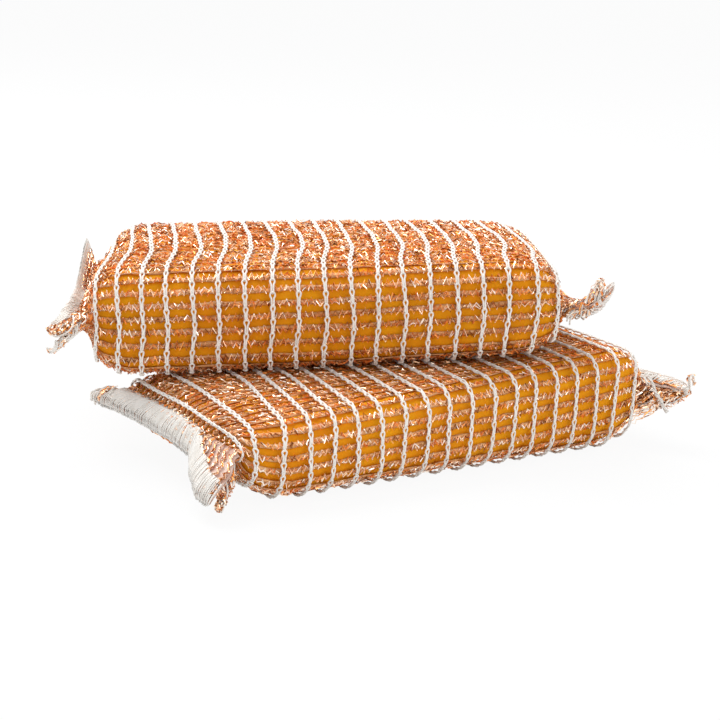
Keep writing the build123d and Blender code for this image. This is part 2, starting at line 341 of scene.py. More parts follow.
    def skin_local(self, u, t, grow):
        """The net's surface in the pad's axes, for a length of net u from the pad's middle."""
        t = t % 1
        side = np.where(u < 0, -1, 1)
        over = np.abs(u)
        wall = np.where(side < 0, self.walls[-1], self.walls[1])
        turn = np.interp(over - STRAIGHT, ROUND_LENGTHS, ROUND_TURNS)
        x = side * (np.minimum(over, STRAIGHT) + (END_ROUND + grow) * np.sin(turn))
        drop = 1 - np.cos(turn)
        y, z = self.section(x, side, drop, t, grow)
        way = np.clip((over - STRAIGHT - ROUND_RUN) / wall, 0, 1)
        x = x - side * self.end_pull(side, t, turn) * (1 - smooth_step(way))
        place = np.where(t < 0.5, 4 * t - 1, 3 - 4 * t)
        layer = np.where(t < 0.5, 1.0, -1.0) * np.clip((1 - np.abs(place)) / LAYER_JOIN, 0, 1)
        centre = self.middle(side * HINGE_X, side)
        share = (smooth_step(way) + way) / 2
        y = y * (1 - share) + place * MOUTH_HALF_WIDTH * share
        z = z * (1 - share) + (centre + layer * (MOUTH_HALF_HEIGHT + grow / 2)) * share
        x = x + side * (MOUTH_X - FOAM_LENGTH / 2 - grow) * share ** 2
        past = over - STRAIGHT - ROUND_RUN - wall
        x = x + side * (HINGE_X - MOUTH_X) * np.clip(past / MOUTH_RUN, 0, 1)
        past = np.maximum(past - MOUTH_RUN, 0)
        spread = smooth_step(past / FLAP_BEND_REACH)
        out = np.zeros_like(u)
        up = np.zeros_like(u)
        flap_y = np.zeros_like(u)
        for k in (-1, 1):
            here = (side == k) & (past > 0)
            out[here], up[here] = self.flap_line(k, place[here], past[here])
            flap_y[here] = self.flap_place(k, place[here]) * MOUTH_HALF_WIDTH
        y = np.where(past > 0, y + (flap_y - y) * spread, y)
        x = x + side * out
        thin = layer * (FLAP_LAYER + (MOUTH_HALF_HEIGHT - FLAP_LAYER) * (1 - spread) + grow / 2)
        z = np.where(past > 0, centre + up + thin, z)
        return np.stack((x, y, z), axis=-1)

    def turn(self, local):
        return local[..., :1] * self.x + local[..., 1:2] * self.y + local[..., 2:] * self.z

    def to_world(self, local):
        return self.origin + self.turn(local)

    def skin(self, u, t, grow):
        """Points of the net's surface and its outward normals, in the frame."""
        shape = np.broadcast(u, t, grow).shape
        u, t, grow = (np.array(np.broadcast_to(v, shape), dtype=float) for v in (u, t, grow))
        du = PROBE
        dt = PROBE / self.girth
        along = self.skin_local(u + du, t, grow) - self.skin_local(u - du, t, grow)
        around = self.skin_local(u, t + dt, grow) - self.skin_local(u, t - dt, grow)
        normal = unit(np.cross(along, around))
        return self.to_world(self.skin_local(u, t, grow)), self.turn(normal)

    def hinge_point(self, side, out=0.0, up=0.0, y=0.0):
        """A point in the frame, out and up from a hinge line, at y across the pad."""
        local = np.array((side * (HINGE_X + out), y, self.middle(side * HINGE_X, side) + up))
        return self.to_world(local)


def new_object(name, vertices, quads, triangles=None, smooth=True):
    mesh = bpy.data.meshes.new(name)
    mesh.vertices.add(len(vertices))
    mesh.vertices.foreach_set("co", np.ascontiguousarray(vertices, dtype=np.float32).ravel())
    triangles = np.zeros((0, 3), dtype=np.int32) if triangles is None else triangles
    corners = np.concatenate((quads.ravel(), triangles.ravel())).astype(np.int32)
    starts = np.concatenate((np.arange(len(quads)) * 4, 4 * len(quads) + np.arange(len(triangles)) * 3))
    mesh.loops.add(len(corners))
    mesh.loops.foreach_set("vertex_index", corners)
    mesh.polygons.add(len(starts))
    mesh.polygons.foreach_set("loop_start", starts.astype(np.int32))
    mesh.update(calc_edges=True)
    mesh.validate()
    mesh.polygons.foreach_set("use_smooth", np.full(len(mesh.polygons), smooth))
    obj = bpy.data.objects.new(name, mesh)
    bpy.context.scene.collection.objects.link(obj)
    return obj


def tubes(name, points, normals, profile, roll=0.0, closed=False, smooth=True):
    """Strands through points (strand, point, axis), with a cross-section of width and height pairs."""
    strands, count = points.shape[:2]
    if closed:
        tangent = np.roll(points, -1, axis=1) - np.roll(points, 1, axis=1)
    else:
        tangent = np.gradient(points, axis=1)
    tangent = unit(tangent)
    wide = unit(np.cross(tangent, normals))
    high = np.cross(wide, tangent)
    roll = np.broadcast_to(np.asarray(roll)[..., None], (strands, count, 1))
    across = np.cos(roll) * wide + np.sin(roll) * high
    above = np.cos(roll) * high - np.sin(roll) * wide
    profile = np.array(profile)
    sides = profile.shape[-2]
    profile = np.broadcast_to(profile, (strands, count, sides, 2))
    rings = points[:, :, None] + profile[..., :1] * across[:, :, None] + profile[..., 1:] * above[:, :, None]
    ring = np.arange(count if closed else count - 1)
    following = (ring + 1) % count
    side = np.arange(sides)
    turned = (side + 1) % sides
    first = (ring[:, None] * sides + side[None]).ravel()
    second = (ring[:, None] * sides + turned[None]).ravel()
    third = (following[:, None] * sides + turned[None]).ravel()
    fourth = (following[:, None] * sides + side[None]).ravel()
    strip = np.stack((first, second, third, fourth), axis=1)
    offsets = np.arange(strands) * count * sides
    quads = (strip[None] + offsets[:, None, None]).reshape(-1, 4)
    triangles = None
    if not closed:
        fan = np.array([(0, k + 1, k) for k in range(1, sides - 1)])
        last = (count - 1) * sides
        ends = np.concatenate((fan, fan[:, ::-1] + last))
        triangles = (ends[None] + offsets[:, None, None]).reshape(-1, 3)
    return new_object(name, rings.reshape(-1, 3), quads, triangles, smooth)


def round_profile(radius, sides):
    turn = np.arange(sides) * 2 * math.pi / sides
    return np.stack((np.cos(turn), np.sin(turn)), axis=-1) * radius


def flat_profile(width, thickness):
    return np.array(((-width / 2, 0), (0, thickness / 2), (width / 2, 0), (0, -thickness / 2)))


def blade_profile(width, thickness):
    return np.array(((-width / 2, -thickness / 3), (0, thickness * 2 / 3), (width / 2, -thickness / 3)))


# Materials: noise scales a metre, the shares of a noise between which a colour changes, and the tones
FOAM_GRAIN = 900
FOAM_CLOUDS = 60
FOAM_TONES = ((0.74, 0.25, 0.001), (0.82, 0.34, 0.002))
FOAM_SCATTER = (2.5 * MM, 1.2 * MM, 0.2 * MM)
TINSEL_PATCHES = 1400
BAND_PATCHES = 700
BAND_TONES = ((0.72, 0.3, 0.09), (0.9, 0.52, 0.24))
YARN_FIBRES = 3500
YARN_PATCHES = 400
CHANGE = (0.3, 0.7)
TINSEL_CHANGE = (0.35, 0.65)
BUMP_STRENGTH = 0.5
FOAM_BUMP = 0.3 * MM
YARN_BUMP = 0.08 * MM


def new_material(name):
    material = bpy.data.materials.new(name)
    material.use_nodes = True
    nodes = material.node_tree.nodes
    shader = nodes["Principled BSDF"]
    place = nodes.new("ShaderNodeTexCoord")
    return material, nodes, material.node_tree.links, shader, place


def noise(nodes, links, place, scale, detail=2.0):
    texture = nodes.new("ShaderNodeTexNoise")
    texture.inputs["Scale"].default_value = scale
    texture.inputs["Detail"].default_value = detail
    links.new(place.outputs["Object"], texture.inputs["Vector"])
    return texture


def ramp(nodes, links, source, change, tones):
    colours = nodes.new("ShaderNodeValToRGB")
    for element, position, colour in zip(colours.color_ramp.elements, change, tones):
        element.position = position
        element.color = (*colour, 1)
    links.new(source, colours.inputs["Fac"])
    return colours


def bump(nodes, links, source, shader, distance):
    node = nodes.new("ShaderNodeBump")
    node.inputs["Strength"].default_value = BUMP_STRENGTH
    node.inputs["Distance"].default_value = distance
    links.new(source, node.inputs["Height"])
    links.new(node.outputs["Normal"], shader.inputs["Normal"])


def foam_material():
    material, nodes, links, shader, place = new_material("open_cell_foam")
    grain = noise(nodes, links, place, FOAM_GRAIN, 3)
    clouds = noise(nodes, links, place, FOAM_CLOUDS, 2)
    colours = ramp(nodes, links, clouds.outputs["Fac"], CHANGE, FOAM_TONES)
    links.new(colours.outputs["Color"], shader.inputs["Base Color"])
    shader.inputs["Roughness"].default_value = 0.9
    shader.inputs["Specular IOR Level"].default_value = 0.25
    shader.inputs["Subsurface Weight"].default_value = 0.2
    shader.inputs["Subsurface Radius"].default_value = FOAM_SCATTER
    shader.inputs["Subsurface Scale"].default_value = 1.0
    bump(nodes, links, grain.outputs["Fac"], shader, FOAM_BUMP)
    return material


def tinsel_material(name, low, high, metallic, roughness):
    material, nodes, links, shader, place = new_material(name)
    patches = noise(nodes, links, place, TINSEL_PATCHES, 1)
    colours = ramp(nodes, links, patches.outputs["Fac"], TINSEL_CHANGE, (low, high))
    links.new(colours.outputs["Color"], shader.inputs["Base Color"])
    shader.inputs["Metallic"].default_value = metallic
    shader.inputs["Roughness"].default_value = roughness
    return material


def band_material():
    material, nodes, links, shader, place = new_material("sheer_flat_yarn")
    patches = noise(nodes, links, place, BAND_PATCHES, 2)
    colours = ramp(nodes, links, patches.outputs["Fac"], CHANGE, BAND_TONES)
    links.new(colours.outputs["Color"], shader.inputs["Base Color"])
    shader.inputs["Roughness"].default_value = 0.45
    return material


def yarn_material(name, low, high):
    material, nodes, links, shader, place = new_material(name)
    fibres = noise(nodes, links, place, YARN_FIBRES, 2)
    patches = noise(nodes, links, place, YARN_PATCHES, 1)
    colours = ramp(nodes, links, patches.outputs["Fac"], CHANGE, (low, high))
    links.new(colours.outputs["Color"], shader.inputs["Base Color"])
    shader.inputs["Roughness"].default_value = 0.85
    shader.inputs["Sheen Weight"].default_value = 0.2
    bump(nodes, links, fibres.outputs["Fac"], shader, YARN_BUMP)
    return material


FOAM = foam_material()
TINSEL = [
    tinsel_material("tinsel_copper", (0.95, 0.55, 0.32), (1.0, 0.74, 0.52), 1.0, 0.25),
    # pale strands: painted glints, a lit copy of the copper that shows bright whatever way it faces
    tinsel_material("tinsel_pale", (1.0, 0.82, 0.68), (1.0, 0.93, 0.84), 1.0, 0.2),
    # dark strands: painted dark reflections, a shaded copy of the copper
    tinsel_material("tinsel_dark", (0.3, 0.1, 0.02), (0.5, 0.2, 0.06), 0.8, 0.28),
    # red-orange strands: partly the tinsel's own red copper, partly painted orange bounce light for the
    # shade between the pads
    tinsel_material("tinsel_rust", (0.92, 0.28, 0.05), (1.0, 0.48, 0.14), 0.6, 0.35),
]
# Shares of the four tones; the pale, dark and red-orange shares set how much painted glint, painted dark
# reflection and painted bounce light the tinsel carries
TINSEL_SHARES = (0.34, 0.28, 0.14, 0.24)
BAND = band_material()
WHITE_YARN = yarn_material("white_yarn", (0.8, 0.76, 0.7), (0.9, 0.87, 0.82))
SEAM_CLOTH = yarn_material("seam_cloth", (0.6, 0.34, 0.25), (0.8, 0.62, 0.53))


def paint(obj, materials, shares=None, run=1):
    """Puts materials on a piece; with shares, each run of faces takes one of them by chance."""
    for material in materials:
        obj.data.materials.append(material)
    if shares is not None:
        count = len(obj.data.polygons)
        picks = rng.choice(len(materials), size=count // run + 1, p=shares)
        obj.data.polygons.foreach_set("material_index", np.repeat(picks, run)[:count].astype(np.int32))


def bend_with(obj, pad, side):
    """Bakes the piece's place into its mesh; the points it takes on the hinge line are not used."""
    slope = math.radians(BLEND_SLOPES[(pad.name, side)])
    before = (-BLEND_BEFORE * math.cos(slope), -BLEND_BEFORE * math.sin(slope))
    after = (BLEND_AFTER * math.cos(slope), BLEND_AFTER * math.sin(slope))
    tuple(pad.hinge_point(side, *before))
    tuple(pad.hinge_point(side, *after))
    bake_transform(obj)


# The pieces of a pad


# The foam's rings between its rounded ends, its points round, its turns over an end, how far a chain
# presses it in, and the rings of its end caps as a scale and a length out in mm
FOAM_RINGS = 106
FOAM_AROUND = 176
FOAM_TURNS = np.radians(np.linspace(7, 90, 13))
CHAIN_PRESS = 0.25 * MM
FOAM_CAPS = ((0.9, 0.12), (0.6, 0.2), (0.2, 0.25))


def foam_core(pad):
    """The foam block, pressed in a little by each chain and rounded at its ends."""
    inner = np.linspace(-STRAIGHT, STRAIGHT, FOAM_RINGS)
    turn = FOAM_TURNS
    tip = STRAIGHT + END_ROUND * np.sin(turn)
    x = np.concatenate((-tip[::-1], inner, tip))
    drop = np.concatenate((1 - np.cos(turn[::-1]), inner * 0, 1 - np.cos(turn)))
    t = np.arange(FOAM_AROUND) / FOAM_AROUND
    xx, tt = np.meshgrid(x, t, indexing="ij")
    drops = np.broadcast_to(drop[:, None], xx.shape)
    sides = np.where(xx < 0, -1, 1)
    press = CHAIN_PRESS * (0.5 + 0.5 * np.cos(xx / CHAIN_PITCH * 2 * math.pi)) ** 4
    y, z = pad.section(xx, sides, drops, tt, -press)
    pull = pad.end_pull(sides, tt, np.arccos(1 - drops))
    local = np.stack((xx - sides * pull, y, z), axis=-1)
    caps = {}
    for side, ring in ((-1, local[0]), (1, local[-1])):
        centre = ring.mean(axis=0)
        caps[side] = [
            centre + (ring - centre) * scale + (side * out * MM, 0, 0)
            for scale, out in FOAM_CAPS
        ]
    local = np.concatenate((np.array(caps[-1][::-1]), local, np.array(caps[1])))
    rings, around = local.shape[:2]
    index = np.arange(rings * around).reshape(rings, around)
    turned = np.roll(index, -1, axis=1)
    quads = np.stack((index[:-1], turned[:-1], turned[1:], index[1:]), axis=-1).reshape(-1, 4)
    middles = np.array((local[0].mean(axis=0), local[-1].mean(axis=0)))
    vertices = np.concatenate((local.reshape(-1, 3), middles))
    low = np.stack((turned[0], index[0], np.full(around, rings * around)), axis=-1)
    high = np.stack((index[-1], turned[-1], np.full(around, rings * around + 1)), axis=-1)
    obj = new_object(pad.name + "_foam", pad.to_world(vertices), quads, np.concatenate((low, high)))
    paint(obj, [FOAM])
    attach(obj, pad.name + "_pad")
    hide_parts(pad.name + "_foam_core")


def wander(count, steps, pitch_steps, size):
    """A slow random wander for each of several lines."""
    knots = rng.normal(0, size, (count, steps // pitch_steps + 3))
    places = np.arange(steps) / pitch_steps
    return np.array([np.interp(places, np.arange(knots.shape[1]), row) for row in knots])


# A tinsel strand's steps and their stray as a share of a step, its zigzag's least and largest share,
# the share of calm steps and their zigzag, and its slow wander
TINSEL_STEP = 0.7 * MM
STEP_STRAY = 0.45
SWING_SHARES = (0.35, 1.0)
CALM_SHARE = 0.12
CALM_SWING = 0.2
WANDER_STEPS = 14
WANDER_SIZE = 0.12 * MM

# Its height over the net, and how far off and by which share a chain holds it down
TINSEL_BASE = 0.2 * MM
RISE_SPREAD = (1.4, 1.8)
HELD_REACH = 1.1 * MM
HELD_SHARE = 0.65

# Its twist from step to step in radians, its widths in mm, its thickness as a share of its width, and
# how many faces in a row have one colour
ROLL_SIZE = 0.7
TINSEL_WIDTHS = (0.22, 0.48)
TINSEL_THICKNESS = 0.25
COLOUR_RUN = 6


def tinsel(pad, name, starts, ends, rows, strands, spread, lift):
    """Crinkled metallised strands along the rows; starts and ends hold each row's stretch."""
    count = int(np.max(np.abs(ends - starts)) / TINSEL_STEP)
    share = np.linspace(0, 1, count)
    rows = np.repeat(rows, strands)
    starts = np.repeat(starts, strands)[:, None]
    ends = np.repeat(ends, strands)[:, None]
    shape = (len(rows), count)
    u = starts + (ends - starts) * share[None]
    u[:, 1:-1] += rng.uniform(-STEP_STRAY, STEP_STRAY, (shape[0], count - 2)) * TINSEL_STEP
    swing = np.where(np.arange(count) % 2, 1.0, -1.0)[None] * rng.uniform(*SWING_SHARES, shape)
    calm = rng.uniform(0, 1, shape) < CALM_SHARE
    swing = np.where(calm, swing * CALM_SWING, swing) * spread
    stray = swing + wander(*shape, WANDER_STEPS, WANDER_SIZE)
    t = (rows[:, None] + 0.5) / pad.row_count + stray / pad.girth
    held = np.exp(-(chain_distance(pad, u, t) / HELD_REACH) ** 2)
    rise = lift * rng.beta(*RISE_SPREAD, shape) * (1 - HELD_SHARE * held) + TINSEL_BASE
    points, normals = pad.skin(u, t, TINSEL_BASE)
    points = points + normals * rise[..., None]
    roll = np.cumsum(rng.normal(0, ROLL_SIZE, shape), axis=1)
    width = rng.uniform(*TINSEL_WIDTHS, shape)[..., None, None] * MM
    profile = blade_profile(1.0, TINSEL_THICKNESS)[None, None] * width
    return tubes(name, points, normals, profile, roll=roll, smooth=False)


# The flat yarn: its steps, width and lift over the net, its thickness as a share of its width, its
# strays to the side and up, and its twist in radians
BAND_STEP = 1.1 * MM
BAND_WIDTH = 1.2 * MM
BAND_LIFT = 0.22 * MM
BAND_THICKNESS = 0.14
BAND_STRAY = 0.12 * MM
BAND_RISE = 0.05 * MM
BAND_ROLL = 0.2


def bands(pad, name, starts, ends, rows):
    """The sheer flat yarn that lies along each row."""
    count = int(np.max(np.abs(ends - starts)) / BAND_STEP)
    share = np.linspace(0, 1, count)
    u = starts[:, None] + (ends - starts)[:, None] * share[None]
    t = (rows[:, None] + 0.5) / pad.row_count + wander(len(rows), count, 6, BAND_STRAY) / pad.girth
    lift = BAND_LIFT + np.abs(wander(len(rows), count, 3, BAND_RISE))
    points, normals = pad.skin(u, t, lift)
    width = np.abs(BAND_WIDTH + wander(len(rows), count, 2, BAND_WIDTH / 6))[..., None, None]
    profile = flat_profile(1.0, BAND_THICKNESS)[None, None] * width
    return tubes(name, points, normals, profile, roll=wander(len(rows), count, 4, BAND_ROLL))


# The tinsel over the pads and at their ends: its strands in a row, and how far they spread and rise
BODY_TINSEL = {"lower": (3, 0.95 * MM, 0.7 * MM), "upper": (4, 1.1 * MM, 1.1 * MM)}
END_TINSEL = (5, 1.0 * MM, 0.35 * MM)
EDGE_GAP = 2.0 * MM
ROW_GROUPS = 4


def body_rows(pad):
    """The rows over the pad itself, in groups so that no piece is too heavy."""
    order = np.arange(pad.row_count)
    left = MOUTH_RUN - pad.hinge_run(-1)
    right = pad.hinge_run(1) - MOUTH_RUN
    for k in range(ROW_GROUPS):
        rows = order[k * pad.row_count // ROW_GROUPS:(k + 1) * pad.row_count // ROW_GROUPS]
        starts = np.full(len(rows), left)
        ends = np.full(len(rows), right)
        obj = tinsel(pad, f"{pad.name}_tinsel_{k + 1}", starts, ends, rows, *BODY_TINSEL[pad.name])
        paint(obj, TINSEL, TINSEL_SHARES, run=COLOUR_RUN)
        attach(obj, pad.name + "_pad")
        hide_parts(pad.name + "_net_sleeve")
    starts = np.full(pad.row_count, left)
    ends = np.full(pad.row_count, right)
    obj = bands(pad, pad.name + "_bands", starts, ends, order)
    paint(obj, [BAND])
    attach(obj, pad.name + "_pad")


def end_rows(pad, side, word):
    """The rows from the mouth of the seam to near the flap's edge."""
    rows = np.arange(pad.row_count)
    t = (rows + 0.5) / pad.row_count
    place = np.where(t < 0.5, 4 * t - 1, 3 - 4 * t)
    hinge = pad.hinge_run(side)
    starts = np.full(pad.row_count, side * (hinge - MOUTH_RUN))
    ends = side * (hinge + pad.flap_reach(side, place) - EDGE_GAP)
    obj = tinsel(pad, f"{pad.name}_{word}_tinsel", starts, ends, rows, *END_TINSEL)
    paint(obj, TINSEL, TINSEL_SHARES, run=COLOUR_RUN)
    bend_with(obj, pad, side)


CLOTH_AROUND = 160
CLOTH_RINGS = 14
CLOTH_INSET = 0.1 * MM


def flap_cloth(pad, side, word):
    """The cloth of the flattened end, between its two layers of rows."""
    across = np.arange(CLOTH_AROUND) / CLOTH_AROUND
    share = np.linspace(0, 1, CLOTH_RINGS)
    ss, tt = np.meshgrid(share, across, indexing="ij")
    place = np.where(tt < 0.5, 4 * tt - 1, 3 - 4 * tt)
    start = pad.hinge_run(side) - MOUTH_RUN / 2
    reach = pad.flap_reach(side, place) + MOUTH_RUN / 2
    local = pad.skin_local(side * (start + reach * ss), tt, -CLOTH_INSET)
    rings, around = local.shape[:2]
    index = np.arange(rings * around).reshape(rings, around)
    turned = np.roll(index, -1, axis=1)
    quads = np.stack((index[:-1], turned[:-1], turned[1:], index[1:]), axis=-1).reshape(-1, 4)
    half = around // 2
    caps = []
    corners = []
    for row in (index[0], index[-1]):
        top = row[1:half]
        under = row[:half:-1]
        caps.append(np.stack((top[:-1], top[1:], under[1:], under[:-1]), axis=-1))
        corners.append(((row[0], top[0], under[0]), (top[-1], row[half], under[-1])))
    quads = np.concatenate((quads, caps[0], caps[1][:, ::-1]))
    triangles = np.array([*corners[0], *corners[1]])
    obj = new_object(f"{pad.name}_{word}_cloth", pad.to_world(local).reshape(-1, 3), quads, triangles)
    paint(obj, [SEAM_CLOTH])
    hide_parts(f"{pad.name}_{word}_flap")
    bend_with(obj, pad, side)


# A chain's loop: along the chain as a share of the row's pitch, across and up in mm
LINK_POINTS = np.array((
    (-0.47, 0.00, -0.12),
    (-0.38, 0.17, 0.00),
    (-0.20, 0.21, 0.14),
    (0.00, 0.20, 0.20),
    (0.17, 0.24, 0.16),
    (0.30, 0.42, 0.08),
    (0.43, 0.47, 0.06),
    (0.55, 0.31, 0.16),
    (0.60, 0.00, 0.28),
    (0.55, -0.31, 0.16),
    (0.43, -0.47, 0.06),
    (0.30, -0.42, 0.08),
    (0.17, -0.24, 0.16),
    (0.00, -0.20, 0.20),
    (-0.20, -0.21, 0.14),
    (-0.38, -0.17, 0.00),
))


# Points between two of the loop's, the loop's start after its row, its random stretch, skew and
# width, and the sides of a yarn
LINK_STEPS = 2
LINK_START = 0.68
LINK_STRETCH = 0.04
LINK_SKEW = 0.06
LINK_WIDENING = 0.08
YARN_SIDES = 5


def closed_curve(knots, per_knot):
    """Points on a smooth closed curve through the knots."""
    before = np.roll(knots, 1, axis=0)
    after = np.roll(knots, -1, axis=0)
    beyond = np.roll(knots, -2, axis=0)
    points = []
    for s in np.arange(per_knot) / per_knot:
        points.append(0.5 * (
            2 * knots + (after - before) * s
            + (2 * before - 5 * knots + 4 * after - beyond) * s ** 2
            + (3 * knots - before - 3 * after + beyond) * s ** 3
        ))
    return np.stack(points, axis=1).reshape(-1, knots.shape[1])


# How far the outermost chains sit from an even pitch in mm, by their number from the left
CHAIN_NUDGES = {
    "upper": {0: 1.3, 1: 1.1, 2: 0.5, 3: 0.2, 18: -0.9},
    "lower": {0: 1.0, 1: -0.1, 19: 5.6},
}

# How the chains stray along the pad on their way round: the share of the way and the shift in mm
CHAIN_STRAYS = {
    "upper": [
        (0.0, 0.4), (0.06, 0.3), (0.1, 0.5), (0.2, 2.1), (0.26, 1.7), (0.34, 0.4),
        (0.41, -0.7), (0.5, -0.4), (0.75, 0.0), (0.9, -0.8), (0.95, -0.6), (1.0, 0.4),
    ],
    "lower": [
        (0.0, -1.3), (0.09, -0.7), (0.25, -0.2), (0.4, -1.0), (0.75, -1.3), (0.92, -1.9), (1.0, -1.3),
    ],
}

# How far over the chains lean on the pad's top, from its near edge to its far one: the chain's
# number and the lean in mm
CHAIN_LEANS = {
    "upper": [(0, 0.0), (18, 0.0)],
    "lower": [(0, 3.5), (1, 6.5), (2, 14.0), (3, 13.0), (5, 9.0), (8, 5.0), (12, 1.0), (19, -2.0)],
}


def chain_place(pad, k, t):
    """Where a chain is along the net as it goes round the pad."""
    f = pad.side_fractions
    t = t % 1
    strays = np.array(CHAIN_STRAYS[pad.name])
    knot = np.clip(np.searchsorted(strays[:, 0], t, side="right") - 1, 0, len(strays) - 2)
    way = smooth_step((t - strays[knot, 0]) / (strays[knot + 1, 0] - strays[knot, 0]))
    stray = strays[knot, 1] + (strays[knot + 1, 1] - strays[knot, 1]) * way
    leans = np.array(CHAIN_LEANS[pad.name])
    lean = np.interp(k, leans[:, 0], leans[:, 1])
    over_top = np.clip((t - f[TOP_STARTS]) / (f[TOP_ENDS] - f[TOP_STARTS]), 0, 1)
    back_below = smooth_step((t - f[TOP_ENDS]) / (1 - f[TOP_ENDS]))
    place = (k - (CHAIN_COUNTS[pad.name] - 1) / 2) * CHAIN_PITCH
    place = place + (CHAIN_NUDGES[pad.name].get(k, 0.0) + stray + lean * (over_top - back_below)) * MM
    wave, phase, ripple, ripple_phase = pad.chain_waves[:, k]
    place = place + wave * np.sin(2 * math.pi * (t * WAVES_ROUND + phase))
    return place + ripple * np.sin(2 * math.pi * (t * RIPPLES_ROUND + ripple_phase))


def chain_distance(pad, u, t):
    """How far along the net the nearest chain is."""
    nearest = np.full(u.shape, np.inf)
    for k in range(CHAIN_COUNTS[pad.name]):
        nearest = np.minimum(nearest, np.abs(u - chain_place(pad, k, t)))
    return nearest


def chains(pad):
    """Chain-stitched yarn: one loop for each row, its head over the next loop's legs."""
    loop = closed_curve(LINK_POINTS, LINK_STEPS)
    pieces = []
    sides = []
    for k in range(CHAIN_COUNTS[pad.name]):
        j = np.arange(pad.row_count)[:, None]
        stretch = 1 + rng.normal(0, LINK_STRETCH, (pad.row_count, 1))
        t = (j + LINK_START + loop[None, :, 0] * stretch) / pad.row_count
        skew = rng.normal(0, LINK_SKEW, (pad.row_count, 1))
        wide = 1 + rng.normal(0, LINK_WIDENING, (pad.row_count, 1))
        lateral = (loop[None, :, 1] * wide + loop[None, :, 0] * skew) * MM
        u = chain_place(pad, k, t) + lateral
        lift = CHAIN_LIFT + loop[None, :, 2] * MM * np.ones_like(t)
        points, normals = pad.skin(u, t, lift)
        pieces.append(points)
        sides.append(normals)
    points = np.concatenate(pieces)
    normals = np.concatenate(sides)
    profile = round_profile(YARN_RADIUS, YARN_SIDES)
    obj = tubes(pad.name + "_chain_stitches", points, normals, profile, closed=True)
    paint(obj, [WHITE_YARN])
    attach(obj, pad.name + "_pad")
    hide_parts(pad.name + "_chains")


# The overlock: its points in a stitch, its thread, and how far its stitches reach in from the edge
STITCH_POINTS = 14
STITCH_RADIUS = 0.2 * MM
STITCH_DEPTHS = {
    ("upper", -1): 4.6 * MM,
    ("upper", 1): 4.6 * MM,
    ("lower", -1): 6.2 * MM,
    ("lower", 1): 4.6 * MM,
}
DENSE_PITCH = 0.45 * MM
LOOSE_PITCH = 1.4 * MM

# Where each flap's stitches get dense, in turns across it from its near corner
DENSE_STARTS = {("upper", -1): -0.75, ("upper", 1): -0.75, ("lower", -1): -1.3, ("lower", 1): -0.75}
DENSE_RUN = 0.4

# The pitches' random shares, the first and last stitches and points across a flap, the stitches'
# strays across and along it, how far they pass its edge, and how square their turns are
PITCH_SHARES = (0.8, 1.2)
LAST_STITCH = 0.985
LAST_POINT = 0.995
STITCH_STRAY = 0.004
DEPTH_STRAY = 0.12 * MM
OVER_EDGE = 0.3 * MM
TURN_POWER = 0.4

# The stitches' height over the net, at two distances from the hinge line
STITCH_RISE_PLACES = (-1.0 * MM, 1.0 * MM)
STITCH_RISES = (0.9 * MM, 2.0 * MM)


def overlock(pad, side, word):
    """The overlock thread: a coil of stitches over the flap's edge."""
    rows = pad.flap_rows(side)
    width = (rows[-1, 0] - rows[0, 0]) * MOUTH_HALF_WIDTH
    dense = DENSE_STARTS[(pad.name, side)]
    places = []
    place = -LAST_STITCH
    while place < LAST_STITCH:
        places.append(place)
        pitch = LOOSE_PITCH + (DENSE_PITCH - LOOSE_PITCH) * smooth_step((place - dense) / DENSE_RUN)
        place += 2 * pitch * rng.uniform(*PITCH_SHARES) / width
    places = np.array(places)
    count = len(places) - 1
    turns = np.arange(count * STITCH_POINTS) / STITCH_POINTS
    place = np.interp(turns, np.arange(count + 1), places)
    place = place + wander(1, len(turns), STITCH_POINTS // 2, STITCH_STRAY)[0]
    place = np.clip(place, -LAST_POINT, LAST_POINT)
    phase = 2 * math.pi * (turns % 1)
    swing = 0.5 + 0.5 * np.cos(phase)
    depth = STITCH_DEPTHS[(pad.name, side)] * (1 - swing)
    distance = pad.flap_reach(side, place) - depth + OVER_EDGE * swing
    distance = distance + wander(1, len(turns), STITCH_POINTS, DEPTH_STRAY)[0]
    distance = np.maximum(distance, -pad.walls[side])
    u = side * (pad.hinge_run(side) + distance)
    grow = np.interp(distance, STITCH_RISE_PLACES, STITCH_RISES)
    above, below = (pad.skin_local(u, t, grow) for t in ((place + 1) / 4, (3 - place) / 4))
    height = np.sign(np.sin(phase)) * np.abs(np.sin(phase)) ** TURN_POWER
    local = (above + below) / 2 + (above - below) / 2 * height[:, None]
    normal = unit(above - below)
    obj = tubes(
        f"{pad.name}_{word}_stitches",
        pad.to_world(local)[None],
        pad.turn(normal)[None],
        round_profile(STITCH_RADIUS, YARN_SIDES),
    )
    paint(obj, [WHITE_YARN])
    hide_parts(f"{pad.name}_{word}_overlock")
    bend_with(obj, pad, side)


